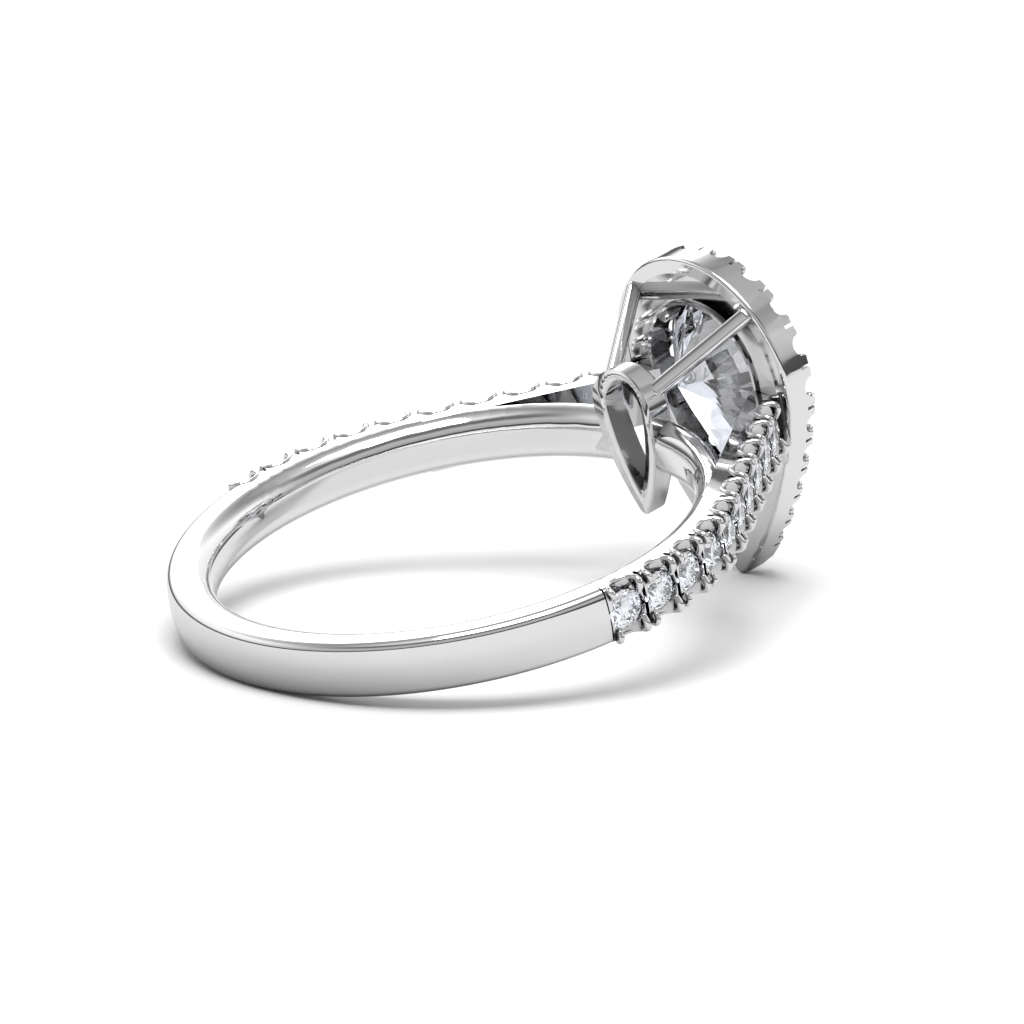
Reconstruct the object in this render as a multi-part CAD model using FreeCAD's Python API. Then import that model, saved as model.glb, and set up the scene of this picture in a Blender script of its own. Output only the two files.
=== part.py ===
import FreeCAD, Part
import math
import os

# Halo ring of polished white metal, with a pear-shaped centre stone, lying on its side.
# It is drawn upright in the ring's own frame: X runs from the finger's axis to the head, Z along the
# finger's axis and Y across, with the pear's point towards -Z. lay_down() then tips it on to the floor,
# where it rests on the back of the band and on the halo's point. Sizes are in millimetres.

V = FreeCAD.Vector
ORIGIN = V(0, 0, 0)
X_AXIS = V(1, 0, 0)
Y_AXIS = V(0, 1, 0)
Z_AXIS = V(0, 0, 1)

# Band
FINGER_HOLE_DIAMETER = 16.24
BAND_WIDTH = 1.90
BAND_THICKNESS = 1.53
COMFORT_LAND = 0.50
BAND_EDGE_ROUND = 0.22
BAND_DOME_RADIUS = 3.5

# Base strands and shoulder arches
STRAND_THICKNESS = 0.84
STRAND_EDGE_ROUND = 0.08
ARCH_START_ANGLE = 54.8
ARCH_THICKNESS = 1.03
ARCH_SINK = 0.05

# Halo outline: a round head and two long flank arcs that meet in the point
HALO_HEAD_RADIUS = 4.20
HALO_HEAD_HEIGHT = 1.20
HALO_POINT_HEIGHT = -6.50
HALO_FLANK_RADIUS = 16.0
HALO_POINT_ROUND = 0.35

# Halo section, along X
HALO_BACK = 11.70
HALO_FRONT = 12.90
HALO_BACK_ROUND = 0.14
RAIL_WIDTH = 0.55
CHANNEL_DEPTH = 0.12
LIP_WIDTH = 0.12
OPENING_INSET = 1.70

# Centre stone
STONE_INSET = 1.55
STONE_GIRDLE_X = 12.85
STONE_CROWN = 0.80
STONE_GIRDLE = 0.08
STONE_PAVILION = 2.30
STONE_TABLE_RATIO = 0.58
STONE_SIDES = 32
STONE_CLEARANCE = 0.04
STONE_SEAT_POINT_ROUND = 0.04
STONE_LEDGE_DEPTH = 0.32

# Claws of the centre stone, by their share of the way round the pear from its point
CLAW_PLACES = [0.0, 0.22, 0.40, 0.60, 0.78]
CLAW_RADIUS = 0.32
CLAW_INSET = 1.66
CLAW_TOP = 13.42

# Round stones: shared proportions, as shares of the radius
ROUND_SIDES = 12
TABLE_SHARE = 0.56
CROWN_SHARE = 0.32
GIRDLE_SHARE = 0.06
PAVILION_SHARE = 0.86

# Halo row
HALO_STONE_COUNT = 21
HALO_STONE_RADIUS = 0.54
HALO_ROW_INSET = 0.73
HALO_STONE_SINK = 0.26
HALO_OUTER_SCALLOP = 0.38
HALO_INNER_SCALLOP = 0.24
HALO_SLOT_WIDTH = 0.12
HALO_SLOT_DEPTH = 0.34
HALO_ROW_REACH = 1.0

# Shoulder rows
ROW_START_ANGLE = 100.4
ROW_PITCH = 1.50
ROW_STONE_COUNT = 10
ROW_STONE_RADIUS = 0.65
ROW_STONE_SINK = 0.20
ROW_SCALLOP = 0.42
ROW_SLOT_WIDTH = 0.14
ROW_SLOT_DEPTH = 0.42

# Clearance of a stone in its seat
SEAT_CLEARANCE = 0.03

# Loop under the stone
LOOP_HEAD_RADIUS = 1.45
LOOP_HEAD_HEIGHT = 1.39
LOOP_POINT_HEIGHT = -2.75
LOOP_FLANK_RADIUS = 8.0
LOOP_POINT_ROUND = 0.30
LOOP_WALL = 0.55
LOOP_BACK = 8.95
LOOP_BACK_ROUND = 0.20
LOOP_OPENING_ROUND = 0.10
LOOP_OPENING_POINT_ROUND = 0.08

# Struts from the loop to the rail
STRUT_SIDE = 0.50
STRUT_EDGE_ROUND = 0.12
STRUT_FOOT = V(8.43, 0.95, 1.90)
STRUT_HEAD = V(11.80, 2.84, 3.86)

# Worked out from the above
BORE_RADIUS = FINGER_HOLE_DIAMETER / 2
HALF_WIDTH = BAND_WIDTH / 2
OUTER_RADIUS = BORE_RADIUS + BAND_THICKNESS
STRAND_RADIUS = BORE_RADIUS + STRAND_THICKNESS
ARCH_INNER = OUTER_RADIUS - ARCH_THICKNESS
DOME_X = OUTER_RADIUS - BAND_DOME_RADIUS
EDGE_Z = HALF_WIDTH - BAND_EDGE_ROUND
EDGE_X = DOME_X + math.sqrt((BAND_DOME_RADIUS - BAND_EDGE_ROUND) ** 2 - EDGE_Z ** 2)
EDGE_SLOPE = math.atan2(EDGE_Z, EDGE_X - DOME_X)
INSIDE_ROUND = (BAND_WIDTH - COMFORT_LAND) / 2


class Pear:
    """A pear outline in the YZ plane, as arcs that touch one another smoothly."""

    def __init__(self, head_radius, head_height, point_height, flank_radius):
        self.head_radius = head_radius
        self.head_height = head_height
        self.flank_radius = flank_radius
        reach = head_height - point_height
        apart = flank_radius - head_radius
        rise = (flank_radius ** 2 - apart ** 2 - reach ** 2) / (2 * reach)
        self.flank_y = math.sqrt(apart ** 2 - rise ** 2)
        self.flank_z = head_height + rise
        self.join_angle = -math.asin(rise / apart)

    def arcs(self, inset, point_round=0.0):
        """The outline moved inwards, as (centre y, centre z, radius, first angle, last angle)."""
        flank = self.flank_radius - inset
        end = -math.acos(self.flank_y / (flank - point_round))
        join = self.join_angle
        arcs = [
            (-self.flank_y, self.flank_z, flank, end, join),
            (0.0, self.head_height, self.head_radius - inset, join, math.pi - join),
            (self.flank_y, self.flank_z, flank, math.pi - join, math.pi - end),
        ]
        if point_round > 0:
            drop = math.sqrt((flank - point_round) ** 2 - self.flank_y ** 2)
            arcs.append((0.0, self.flank_z - drop, point_round, math.pi - end, 2 * math.pi + end))
        return arcs

    def lowest(self, inset, point_round):
        """Height of the outline's lowest point."""
        flank = self.flank_radius - inset - point_round
        return self.flank_z - math.sqrt(flank ** 2 - self.flank_y ** 2) - point_round

    def face(self, x, inset, point_round):
        edges = []
        for cy, cz, radius, first, last in self.arcs(inset, point_round):
            points = []
            for angle in (first, (first + last) / 2, last):
                points.append(V(x, cy + radius * math.cos(angle), cz + radius * math.sin(angle)))
            edges.append(Part.Arc(*points).toShape())
        return Part.Face(Part.Wire(edges))

    def prism(self, x_start, x_end, inset, point_round):
        return self.face(x_start, inset, point_round).extrude(V(x_end - x_start, 0, 0))

    def length(self, inset):
        return sum(radius * (last - first) for _, _, radius, first, last in self.arcs(inset))

    def place(self, inset, share):
        """Point and outward direction at a share of the way round from the pear's point."""
        way = (share % 1.0) * self.length(inset)
        for cy, cz, radius, first, last in self.arcs(inset):
            span = radius * (last - first)
            if way <= span:
                break
            way -= span
        angle = first + way / radius
        outward = V(0, math.cos(angle), math.sin(angle))
        if share % 1.0 == 0.0:
            outward = V(0, 0, -1)
        return V(0, cy, cz) + V(0, math.cos(angle), math.sin(angle)) * radius, outward


HALO = Pear(HALO_HEAD_RADIUS, HALO_HEAD_HEIGHT, HALO_POINT_HEIGHT, HALO_FLANK_RADIUS)
LOOP = Pear(LOOP_HEAD_RADIUS, LOOP_HEAD_HEIGHT, LOOP_POINT_HEIGHT, LOOP_FLANK_RADIUS)


def mirrored(shape):
    """The same shape on the other side of the ring."""
    return shape.mirror(ORIGIN, Y_AXIS)


def bar(start, end, width, height, side):
    """A square-ended bar from start to end. side is the direction of its width."""
    along = end - start
    length = along.Length
    along.normalize()
    across = side - along * side.dot(along)
    across.normalize()
    up = along.cross(across)
    corners = []
    for a, b in ((-1, -1), (1, -1), (1, 1), (-1, 1), (-1, -1)):
        corners.append(start + across * (a * width / 2) + up * (b * height / 2))
    return Part.Face(Part.makePolygon(corners)).extrude(along * length)


def mirrored_point(point):
    """The same point on the lower half of a cross-section."""
    return V(point.x, point.y, -point.z)


def domed_outside():
    """Outer half of the band's cross-section: rounded edges and a low dome, from the top down."""
    middle = (math.pi / 2 + EDGE_SLOPE) / 2
    side, bend, shoulder = [
        V(EDGE_X + BAND_EDGE_ROUND * math.cos(angle), 0, EDGE_Z + BAND_EDGE_ROUND * math.sin(angle))
        for angle in (math.pi / 2, middle, EDGE_SLOPE)
    ]
    low_shoulder, low_bend, low_side = [mirrored_point(point) for point in (shoulder, bend, side)]
    edges = [
        Part.Arc(side, bend, shoulder).toShape(),
        Part.Arc(shoulder, V(OUTER_RADIUS, 0, 0), low_shoulder).toShape(),
        Part.Arc(low_shoulder, low_bend, low_side).toShape(),
    ]
    return edges, side, low_side


def flat_outside():
    """Outer half of a base strand's cross-section: small rounded edges and a flat outside."""
    q = STRAND_EDGE_ROUND
    slope = q * (1 - math.sqrt(0.5))
    side = V(STRAND_RADIUS - q, 0, HALF_WIDTH)
    bend = V(STRAND_RADIUS - slope, 0, HALF_WIDTH - slope)
    shoulder = V(STRAND_RADIUS, 0, HALF_WIDTH - q)
    low_shoulder, low_bend, low_side = [mirrored_point(point) for point in (shoulder, bend, side)]
    edges = [
        Part.Arc(side, bend, shoulder).toShape(),
        Part.makeLine(shoulder, low_shoulder),
        Part.Arc(low_shoulder, low_bend, low_side).toShape(),
    ]
    return edges, side, low_side


def finger_section(outside):
    """Cross-section in the XZ plane with flat sides and a rounded comfortable inside."""
    outer_edges, side, low_side = outside
    land = COMFORT_LAND / 2
    slope = math.sqrt(0.5)
    a = V(BORE_RADIUS, 0, land)
    bend = V(BORE_RADIUS + INSIDE_ROUND * (1 - slope), 0, land + INSIDE_ROUND * slope)
    b = V(BORE_RADIUS + INSIDE_ROUND, 0, HALF_WIDTH)
    low_a, low_bend, low_b = [mirrored_point(point) for point in (a, bend, b)]
    edges = [Part.Arc(a, bend, b).toShape(), Part.makeLine(b, side)]
    edges += outer_edges
    edges += [
        Part.makeLine(low_side, low_b),
        Part.Arc(low_b, low_bend, low_a).toShape(),
        Part.makeLine(low_a, a),
    ]
    return Part.Face(Part.Wire(edges))


def turned(shape, angle):
    """A copy of the shape turned about the finger's axis, in degrees."""
    copy = shape.copy()
    copy.rotate(ORIGIN, Z_AXIS, angle)
    return copy


def band():
    """The full-thickness band, from one shoulder's foot round the back to the other."""
    section = turned(finger_section(domed_outside()), ARCH_START_ANGLE)
    return section.revolve(ORIGIN, Z_AXIS, 360 - 2 * ARCH_START_ANGLE)


def base_strands():
    """The thin finger circle that the arches leave behind, up to the loop and under it."""
    section = turned(finger_section(flat_outside()), -ARCH_START_ANGLE)
    strands = section.revolve(ORIGIN, Z_AXIS, 2 * ARCH_START_ANGLE)
    window = LOOP.prism(BORE_RADIUS - 1, LOOP_BACK + 1, LOOP_WALL, LOOP_OPENING_POINT_ROUND)
    return strands.cut(window)


def arch_direction():
    """The way the arch on the +Y side runs: at a tangent to the band, towards the head."""
    angle = math.radians(ARCH_START_ANGLE)
    return V(math.sin(angle), -math.cos(angle), 0)


def arch_section():
    """Cross-section of an arch: the band's domed outside on a bar with a flat underside."""
    outer_edges, side, low_side = domed_outside()
    top = V(ARCH_INNER, 0, HALF_WIDTH)
    low = mirrored_point(top)
    lines = [Part.makeLine(top, side), Part.makeLine(low_side, low), Part.makeLine(low, top)]
    return Part.Face(Part.Wire(lines[:1] + outer_edges + lines[1:]))


def arch():
    """The +Y arch, from the band to just inside the back of the halo."""
    reach = 2 * HALO_BACK
    straight = turned(arch_section(), ARCH_START_ANGLE).extrude(arch_direction() * reach)
    keep = Part.makeBox(
        HALO_BACK + ARCH_SINK, 2 * OUTER_RADIUS, BAND_WIDTH + 1, V(0, 0, -HALF_WIDTH - 0.5)
    )
    return straight.common(keep)


def row_place(way):
    """Point on the +Y shoulder's outer surface, its outward direction and its run, by distance."""
    start = math.radians(ROW_START_ANGLE)
    bend = math.radians(ARCH_START_ANGLE)
    curved = OUTER_RADIUS * (start - bend)
    angle = start - min(way, curved) / OUTER_RADIUS
    outward = V(math.cos(angle), math.sin(angle), 0)
    run = V(math.sin(angle), -math.cos(angle), 0)
    return outward * OUTER_RADIUS + run * max(0.0, way - curved), outward, run


def seat(point, axis, radius, sink):
    """What is drilled for a round stone: its seat, and the narrower hole under it."""
    girdle = point - axis * sink
    room = radius + SEAT_CLEARANCE
    rest = 0.22 * radius
    upper = Part.makeCylinder(room, sink + rest + 1, girdle - axis * rest, axis)
    lower_depth = (PAVILION_SHARE + 0.1) * radius
    lower = Part.makeCylinder(0.80 * radius, lower_depth, girdle - axis * lower_depth, axis)
    return [upper, lower]


def shoulder_seats():
    """What is drilled for the +Y shoulder's stones, down into the strand under the arch."""
    seats = []
    for number in range(ROW_STONE_COUNT):
        point, outward, _ = row_place((number + 0.5) * ROW_PITCH)
        seats += seat(point, outward, ROW_STONE_RADIUS, ROW_STONE_SINK)
    return seats


def shoulder_cutters():
    """Seats, side scallops and the slots that split the claws, for the +Y shoulder."""
    cutters = shoulder_seats()
    for number in range(ROW_STONE_COUNT):
        point, _, _ = row_place((number + 0.5) * ROW_PITCH)
        low = point - Z_AXIS * (HALF_WIDTH + 0.5)
        cutters.append(Part.makeCylinder(ROW_SCALLOP, BAND_WIDTH + 1, low, Z_AXIS))
    for number in range(ROW_STONE_COUNT + 1):
        point, outward, run = row_place(number * ROW_PITCH)
        floor = point - outward * ROW_SLOT_DEPTH
        top = point + outward * 0.5
        cutters.append(bar(floor, top, ROW_SLOT_WIDTH, BAND_WIDTH + 1, run))
    return cutters


def halo_body():
    """The halo frame before its stones are set: wall, raised back rail, channel and lip."""
    body = HALO.prism(HALO_BACK, HALO_FRONT, 0.0, HALO_POINT_ROUND)
    body = rounded(body, back_edges(body, HALO_BACK), HALO_BACK_ROUND)
    opening = HALO.prism(HALO_BACK - 1, HALO_FRONT + 1, OPENING_INSET, 0.15)
    channel = HALO.prism(HALO_BACK - 1, HALO_BACK + CHANNEL_DEPTH, RAIL_WIDTH, 0.20)
    lip = HALO.prism(HALO_BACK - 1, HALO_BACK + CHANNEL_DEPTH, OPENING_INSET - LIP_WIDTH, 0.15)
    ledge = STONE_GIRDLE_X - STONE_LEDGE_DEPTH
    stone_seat = HALO.prism(ledge, HALO_FRONT + 1, STONE_INSET - STONE_CLEARANCE, STONE_SEAT_POINT_ROUND)
    return body.cut([opening, channel.cut(lip), stone_seat])


def halo_cutters():
    """Seats, scallops and claw slots of the halo's row of stones."""
    cutters = []
    surface = V(HALO_FRONT, 0, 0)
    for number in range(HALO_STONE_COUNT):
        point, outward = HALO.place(HALO_ROW_INSET, number / HALO_STONE_COUNT)
        point = point + surface
        cutters += seat(point, X_AXIS, HALO_STONE_RADIUS, HALO_STONE_SINK)
        cutters.append(Part.makeCylinder(HALO_OUTER_SCALLOP, HALO_ROW_REACH, point, outward))
        cutters.append(Part.makeCylinder(HALO_INNER_SCALLOP, HALO_ROW_REACH, point, -outward))
    for number in range(HALO_STONE_COUNT):
        point, outward = HALO.place(HALO_ROW_INSET, (number + 0.5) / HALO_STONE_COUNT)
        floor = point + V(HALO_FRONT - HALO_SLOT_DEPTH, 0, 0)
        top = point + V(HALO_FRONT + 0.5, 0, 0)
        cutters.append(bar(floor, top, HALO_SLOT_WIDTH, 2 * HALO_ROW_REACH, X_AXIS.cross(outward)))
    return cutters


def claw(share):
    """A round claw that rises from the halo's inner wall and ends in a ball over the stone's edge."""
    point, _ = HALO.place(CLAW_INSET, share)
    foot = point + V(HALO_BACK + 2 * CHANNEL_DEPTH, 0, 0)
    shoulder = point + V(CLAW_TOP, 0, 0)
    side = V(0, 0, CLAW_RADIUS)
    bend = V(CLAW_RADIUS * math.sqrt(0.5), 0, CLAW_RADIUS * math.sqrt(0.5))
    tip = shoulder + V(CLAW_RADIUS, 0, 0)
    profile = [
        Part.makeLine(foot, foot + side),
        Part.makeLine(foot + side, shoulder + side),
        Part.Arc(shoulder + side, shoulder + bend, tip).toShape(),
        Part.makeLine(tip, foot),
    ]
    return Part.Face(Part.Wire(profile)).revolve(foot, X_AXIS, 360)


def claws():
    """The claws, hollowed where the centre stone's edge lies in them."""
    room = pear_stone(STONE_INSET - STONE_CLEARANCE, STONE_CLEARANCE)
    return [claw(share).cut(room) for share in CLAW_PLACES]


def back_edges(solid, x):
    """The edges that lie in the plane at x."""
    near = 0.001
    return [edge for edge in solid.Edges if edge.BoundBox.XMin > x - near and edge.BoundBox.XMax < x + near]


def rounded(solid, edges, radius):
    """The solid with those edges rounded."""
    return solid.makeFillet(radius, edges)


def loop():
    """The pear-shaped loop under the stone. Its finger side follows the finger hole."""
    solid = LOOP.prism(BORE_RADIUS - 0.4, LOOP_BACK, 0.0, LOOP_POINT_ROUND)
    solid = rounded(solid, back_edges(solid, LOOP_BACK), LOOP_BACK_ROUND)
    window = LOOP.prism(BORE_RADIUS - 1, LOOP_BACK + 1, LOOP_WALL, LOOP_OPENING_POINT_ROUND)
    solid = solid.cut(window)
    inner = [edge for edge in back_edges(solid, LOOP_BACK) if edge.distToShape(window)[0] < 0.001]
    solid = rounded(solid, inner, LOOP_OPENING_ROUND)
    bore = Part.makeCylinder(BORE_RADIUS, 10, V(0, 0, -5), Z_AXIS)
    return solid.cut(bore)


def strut():
    """The +Y square strut from inside the loop's shoulder to the halo's rail."""
    window = LOOP.prism(BORE_RADIUS - 1, LOOP_BACK + 1, LOOP_WALL, LOOP_OPENING_POINT_ROUND)
    square = bar(STRUT_FOOT, STRUT_HEAD, STRUT_SIDE, STRUT_SIDE, X_AXIS)
    long_edges = [edge for edge in square.Edges if edge.Length > 2 * STRUT_SIDE]
    return rounded(square, long_edges, STRUT_EDGE_ROUND).cut(window)


def faceted_stone(girdle, centre, axis, table_ratio, crown, girdle_height, pavilion):
    """A cut stone: flat table, crown facets, girdle band and pavilion facets to the point below.

    girdle is the outline as points round the centre, in the plane through it across the axis.
    """
    count = len(girdle)
    top = [point + axis * girdle_height for point in girdle]
    table = []
    for point in girdle:
        table.append(centre + (point - centre) * table_ratio + axis * (girdle_height + crown))
    tip = centre - axis * pavilion
    faces = [Part.Face(Part.makePolygon(table + table[:1]))]
    for i in range(count):
        j = (i + 1) % count
        for loop_points in (
            [table[i], table[j], top[j], top[i]],
            [top[i], top[j], girdle[j], girdle[i]],
            [girdle[i], girdle[j], tip],
        ):
            faces.append(Part.Face(Part.makePolygon(loop_points + loop_points[:1])))
    solid = Part.Solid(Part.makeShell(faces))
    if solid.Volume < 0:
        solid.reverse()
    return solid


def round_stone(point, axis, side, radius, sink):
    """A round stone whose girdle lies sink below the point, with its table along the axis."""
    centre = point - axis * sink
    other = axis.cross(side)
    girdle = []
    for i in range(ROUND_SIDES):
        angle = 2 * math.pi * i / ROUND_SIDES
        girdle.append(centre + (side * math.cos(angle) + other * math.sin(angle)) * radius)
    heights = [share * radius for share in (CROWN_SHARE, GIRDLE_SHARE, PAVILION_SHARE)]
    return faceted_stone(girdle, centre, axis, TABLE_SHARE, *heights)


def pear_stone(inset, spare):
    """The centre stone. spare is how much thicker it is made, for the room it needs."""
    centre = V(STONE_GIRDLE_X - spare, 0, HALO_HEAD_HEIGHT)
    girdle = []
    for i in range(STONE_SIDES):
        point, _ = HALO.place(inset, i / STONE_SIDES)
        girdle.append(point + V(centre.x, 0, 0))
    return faceted_stone(
        girdle, centre, X_AXIS, STONE_TABLE_RATIO, STONE_CROWN, STONE_GIRDLE + 2 * spare, STONE_PAVILION
    )


def mount():
    """All the soldered metal as one solid."""
    one_row = shoulder_cutters()
    other_row = [mirrored(shape) for shape in one_row]
    shank = band().fuse([arch(), mirrored(arch())]).cut(one_row + other_row)
    halo = biggest(halo_body().cut(halo_cutters()))
    seats = shoulder_seats()
    strands = base_strands().cut(seats + [mirrored(shape) for shape in seats])
    gallery = [strands, loop(), strut(), mirrored(strut())]
    return biggest(biggest(shank).fuse([halo] + gallery + claws()).removeSplitter())


def biggest(shape):
    """The largest solid, without loose crumbs between cuts."""
    return max(shape.Solids, key=lambda solid: solid.Volume)


def halo_stones():
    stones = []
    for number in range(HALO_STONE_COUNT):
        point, outward = HALO.place(HALO_ROW_INSET, number / HALO_STONE_COUNT)
        point = point + V(HALO_FRONT, 0, 0)
        stones.append(round_stone(point, X_AXIS, outward, HALO_STONE_RADIUS, HALO_STONE_SINK))
    return Part.makeCompound(stones)


def shoulder_stones():
    """The +Y shoulder's row of stones."""
    stones = []
    for number in range(ROW_STONE_COUNT):
        point, outward, run = row_place((number + 0.5) * ROW_PITCH)
        stones.append(round_stone(point, outward, run, ROW_STONE_RADIUS, ROW_STONE_SINK))
    return Part.makeCompound(stones)


def rest_angle():
    """Tip of the ring about Y, in degrees, that lays the band's back and the halo's point on one floor."""
    back_x = -EDGE_X
    back_z = -EDGE_Z
    point_x = HALO_BACK + HALO_BACK_ROUND
    point_z = HALO.lowest(0.0, HALO_POINT_ROUND) + HALO_BACK_ROUND
    along = point_x - back_x
    rise = back_z - point_z
    spare = BAND_EDGE_ROUND - HALO_BACK_ROUND
    return math.degrees(math.atan2(rise, along) - math.asin(spare / math.hypot(rise, along)))


def lay_down(shapes):
    """Tip every shape on to the floor and centre them all above the origin."""
    for shape in shapes.values():
        shape.rotate(ORIGIN, Y_AXIS, -rest_angle())
    box = Part.makeCompound(list(shapes.values())).optimalBoundingBox(False, False)
    shift = V(-box.Center.x, -box.Center.y, -box.ZMin)
    for shape in shapes.values():
        shape.translate(shift)
    return shift


def main():
    right = shoulder_stones()
    shapes = {
        "ring_mount": mount(),
        "center_stone": pear_stone(STONE_INSET, 0.0),
        "halo_stones": halo_stones(),
        "shoulder_stones_left": right,
        "shoulder_stones_right": mirrored(right),
    }
    shift = lay_down(shapes)
    os.makedirs("parts", exist_ok=True)
    for name, shape in shapes.items():
        print(name, "valid", shape.isValid(), "volume", round(shape.Volume, 3), "solids", len(shape.Solids))
        shape.exportStep("parts/" + name + ".step")
    print("rest angle", round(rest_angle(), 3), "shift", [round(value, 4) for value in shift])
    print("finger hole radius", BORE_RADIUS, "outer radius", OUTER_RADIUS)


main()
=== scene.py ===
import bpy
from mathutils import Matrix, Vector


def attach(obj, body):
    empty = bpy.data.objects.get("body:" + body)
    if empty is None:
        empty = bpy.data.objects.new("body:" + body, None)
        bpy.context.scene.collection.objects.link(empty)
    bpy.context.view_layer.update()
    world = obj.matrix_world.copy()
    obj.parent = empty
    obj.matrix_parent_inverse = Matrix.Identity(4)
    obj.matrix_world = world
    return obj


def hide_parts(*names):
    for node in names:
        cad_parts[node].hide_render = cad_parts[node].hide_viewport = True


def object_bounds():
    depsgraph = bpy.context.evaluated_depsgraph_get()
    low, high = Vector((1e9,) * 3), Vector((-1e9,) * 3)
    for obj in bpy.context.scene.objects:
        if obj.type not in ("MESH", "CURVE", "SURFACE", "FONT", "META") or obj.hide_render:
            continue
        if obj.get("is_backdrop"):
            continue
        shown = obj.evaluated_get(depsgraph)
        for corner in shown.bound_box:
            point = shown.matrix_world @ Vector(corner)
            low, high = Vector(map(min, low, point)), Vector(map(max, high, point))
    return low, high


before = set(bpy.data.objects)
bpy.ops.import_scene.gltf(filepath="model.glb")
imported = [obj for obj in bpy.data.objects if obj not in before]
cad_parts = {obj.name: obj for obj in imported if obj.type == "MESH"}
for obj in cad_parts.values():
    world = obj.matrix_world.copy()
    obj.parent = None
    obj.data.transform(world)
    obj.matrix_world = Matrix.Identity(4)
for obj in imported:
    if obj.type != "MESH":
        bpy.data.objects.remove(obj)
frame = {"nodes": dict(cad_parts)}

"""Looks of the halo ring: polished white metal, brilliant-cut stones, a pale studio and the camera.

Sizes are in millimetres in the ring's own upright frame (X to the head, Y across, Z along the finger's
axis) and go through Rest into the row frame, in metres, where the ring lies on its side.
"""

import logging
import math
from dataclasses import dataclass, field
from enum import Enum
from typing import Callable

import bpy
import numpy as np
from mathutils import Matrix, Vector

LOG = logging.getLogger("halo_ring")
Array = np.ndarray
Face = list[int]
Pair = tuple[float, float]
Point = tuple[float, float, float]
Rgb = tuple[float, float, float]
Color = tuple[float, float, float, float]
Stops = tuple[Pair, ...]
Wire = tuple[tuple[float, float, float, float], ...]
MM = 0.001
UP = np.array([0.0, 0.0, 1.0])
HEADWARD = np.array([1.0, 0.0, 0.0])
TINY = 1e-30


class Side(Enum):
    """The two shoulders, by the sign of Y."""

    LEFT = 1.0
    RIGHT = -1.0


@dataclass(frozen=True)
class Rest:
    """How the upright ring is laid on its side: a tip about Y, then a shift."""

    tilt_deg: float = 14.304
    shift: Point = (-2.4307, 0.0, 3.2369)

    def turn(self) -> Array:
        """Rotation that lifts the head: x' = x cos - z sin, z' = x sin + z cos.

        Returns:
            A 3 by 3 matrix.
        """
        c, s = math.cos(math.radians(self.tilt_deg)), math.sin(math.radians(self.tilt_deg))
        return np.array([[c, 0.0, -s], [0.0, 1.0, 0.0], [s, 0.0, c]])

    def points(self, points: Array) -> Array:
        """Points of the upright ring in millimetres to the row frame in metres.

        Args:
            points: rows of x, y, z.
        Returns:
            Rows of x, y, z in metres.
        """
        return (np.asarray(points, float) @ self.turn().T + np.array(self.shift)) * MM

    def upright(self, points: Array) -> Array:
        """The way back, from the row frame in metres to the upright ring in millimetres.

        Args:
            points: rows of x, y, z in metres.
        Returns:
            Rows of x, y, z in millimetres.
        """
        return (np.asarray(points, float) / MM - np.array(self.shift)) @ self.turn()


REST = Rest()


def new_object(name: str, vertices: Array, faces: list[Face], smooth: bool) -> bpy.types.Object:
    """A mesh object at the origin from row-frame points.

    Args:
        name: the piece's plain name.
        vertices: rows of x, y, z in metres.
        faces: vertex numbers of each face, counter-clockwise from outside.
        smooth: whether its shading is smooth.
    Returns:
        The linked object.
    """
    mesh = bpy.data.meshes.new(name)
    mesh.from_pydata(np.asarray(vertices, float).tolist(), [], [list(map(int, f)) for f in faces])
    mesh.polygons.foreach_set("use_smooth", np.full(len(mesh.polygons), smooth))
    mesh.update()
    piece = bpy.data.objects.new(name, mesh)
    bpy.context.scene.collection.objects.link(piece)
    return piece


def grid_faces(rows: int, around: int, closed: bool = False) -> Array:
    """Quads between rings of points that follow one another.

    Args:
        rows: the number of rings.
        around: points in each ring.
        closed: whether the last ring joins the first.
    Returns:
        Rows of four vertex numbers.
    """
    i, j = np.meshgrid(np.arange(rows if closed else rows - 1), np.arange(around), indexing="ij")
    down, on = (i + 1) % rows, (j + 1) % around
    quads = np.stack([i * around + j, i * around + on, down * around + on, down * around + j], axis=-1)
    return quads.reshape(-1, 4)


@dataclass(frozen=True)
class Pear:
    """A pear outline in the YZ plane: a round head and two long flank arcs that meet in the point."""

    head_radius: float = 4.20
    head_height: float = 1.20
    point_height: float = -6.50
    flank_radius: float = 16.0

    def arcs(self, inset: float) -> Array:
        """Arcs of the outline moved inwards by inset.

        The flank centres lie where a circle of flank_radius touches the head circle inside and passes
        through the point.

        Args:
            inset: how far the outline is moved inwards.
        Returns:
            Rows of centre y, centre z, radius, first angle and last angle.
        """
        reach = self.head_height - self.point_height
        apart = self.flank_radius - self.head_radius
        rise = (self.flank_radius**2 - apart**2 - reach**2) / (2 * reach)
        fy, fz = math.sqrt(apart**2 - rise**2), self.head_height + rise
        join, flank = -math.asin(rise / apart), self.flank_radius - inset
        end = -math.acos(fy / flank)
        return np.array([
            [-fy, fz, flank, end, join],
            [0.0, self.head_height, self.head_radius - inset, join, math.pi - join],
            [fy, fz, flank, math.pi - join, math.pi - end],
        ])

    def place(self, inset: float, share: Array) -> tuple[Array, Array]:
        """Points and outward directions at shares of the way round from the point.

        Args:
            inset: how far the outline is moved inwards.
            share: shares of the way, from 0 to 1.
        Returns:
            Rows of y, z and rows of the outward y, z.
        """
        arcs = self.arcs(inset)
        spans = arcs[:, 2] * (arcs[:, 4] - arcs[:, 3])
        starts = np.concatenate([[0.0], np.cumsum(spans)])
        way = np.mod(np.asarray(share, float), 1.0) * starts[-1]
        part = np.clip(np.searchsorted(starts, way, side="right") - 1, 0, 2)
        angle = arcs[part, 3] + (way - starts[part]) / arcs[part, 2]
        out = np.stack([np.cos(angle), np.sin(angle)], axis=-1)
        tip = np.mod(share, 1.0) == 0.0
        points = arcs[part, :2] + arcs[part, 2:3] * out
        out[tip] = (0.0, -1.0)
        return points, out


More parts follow.
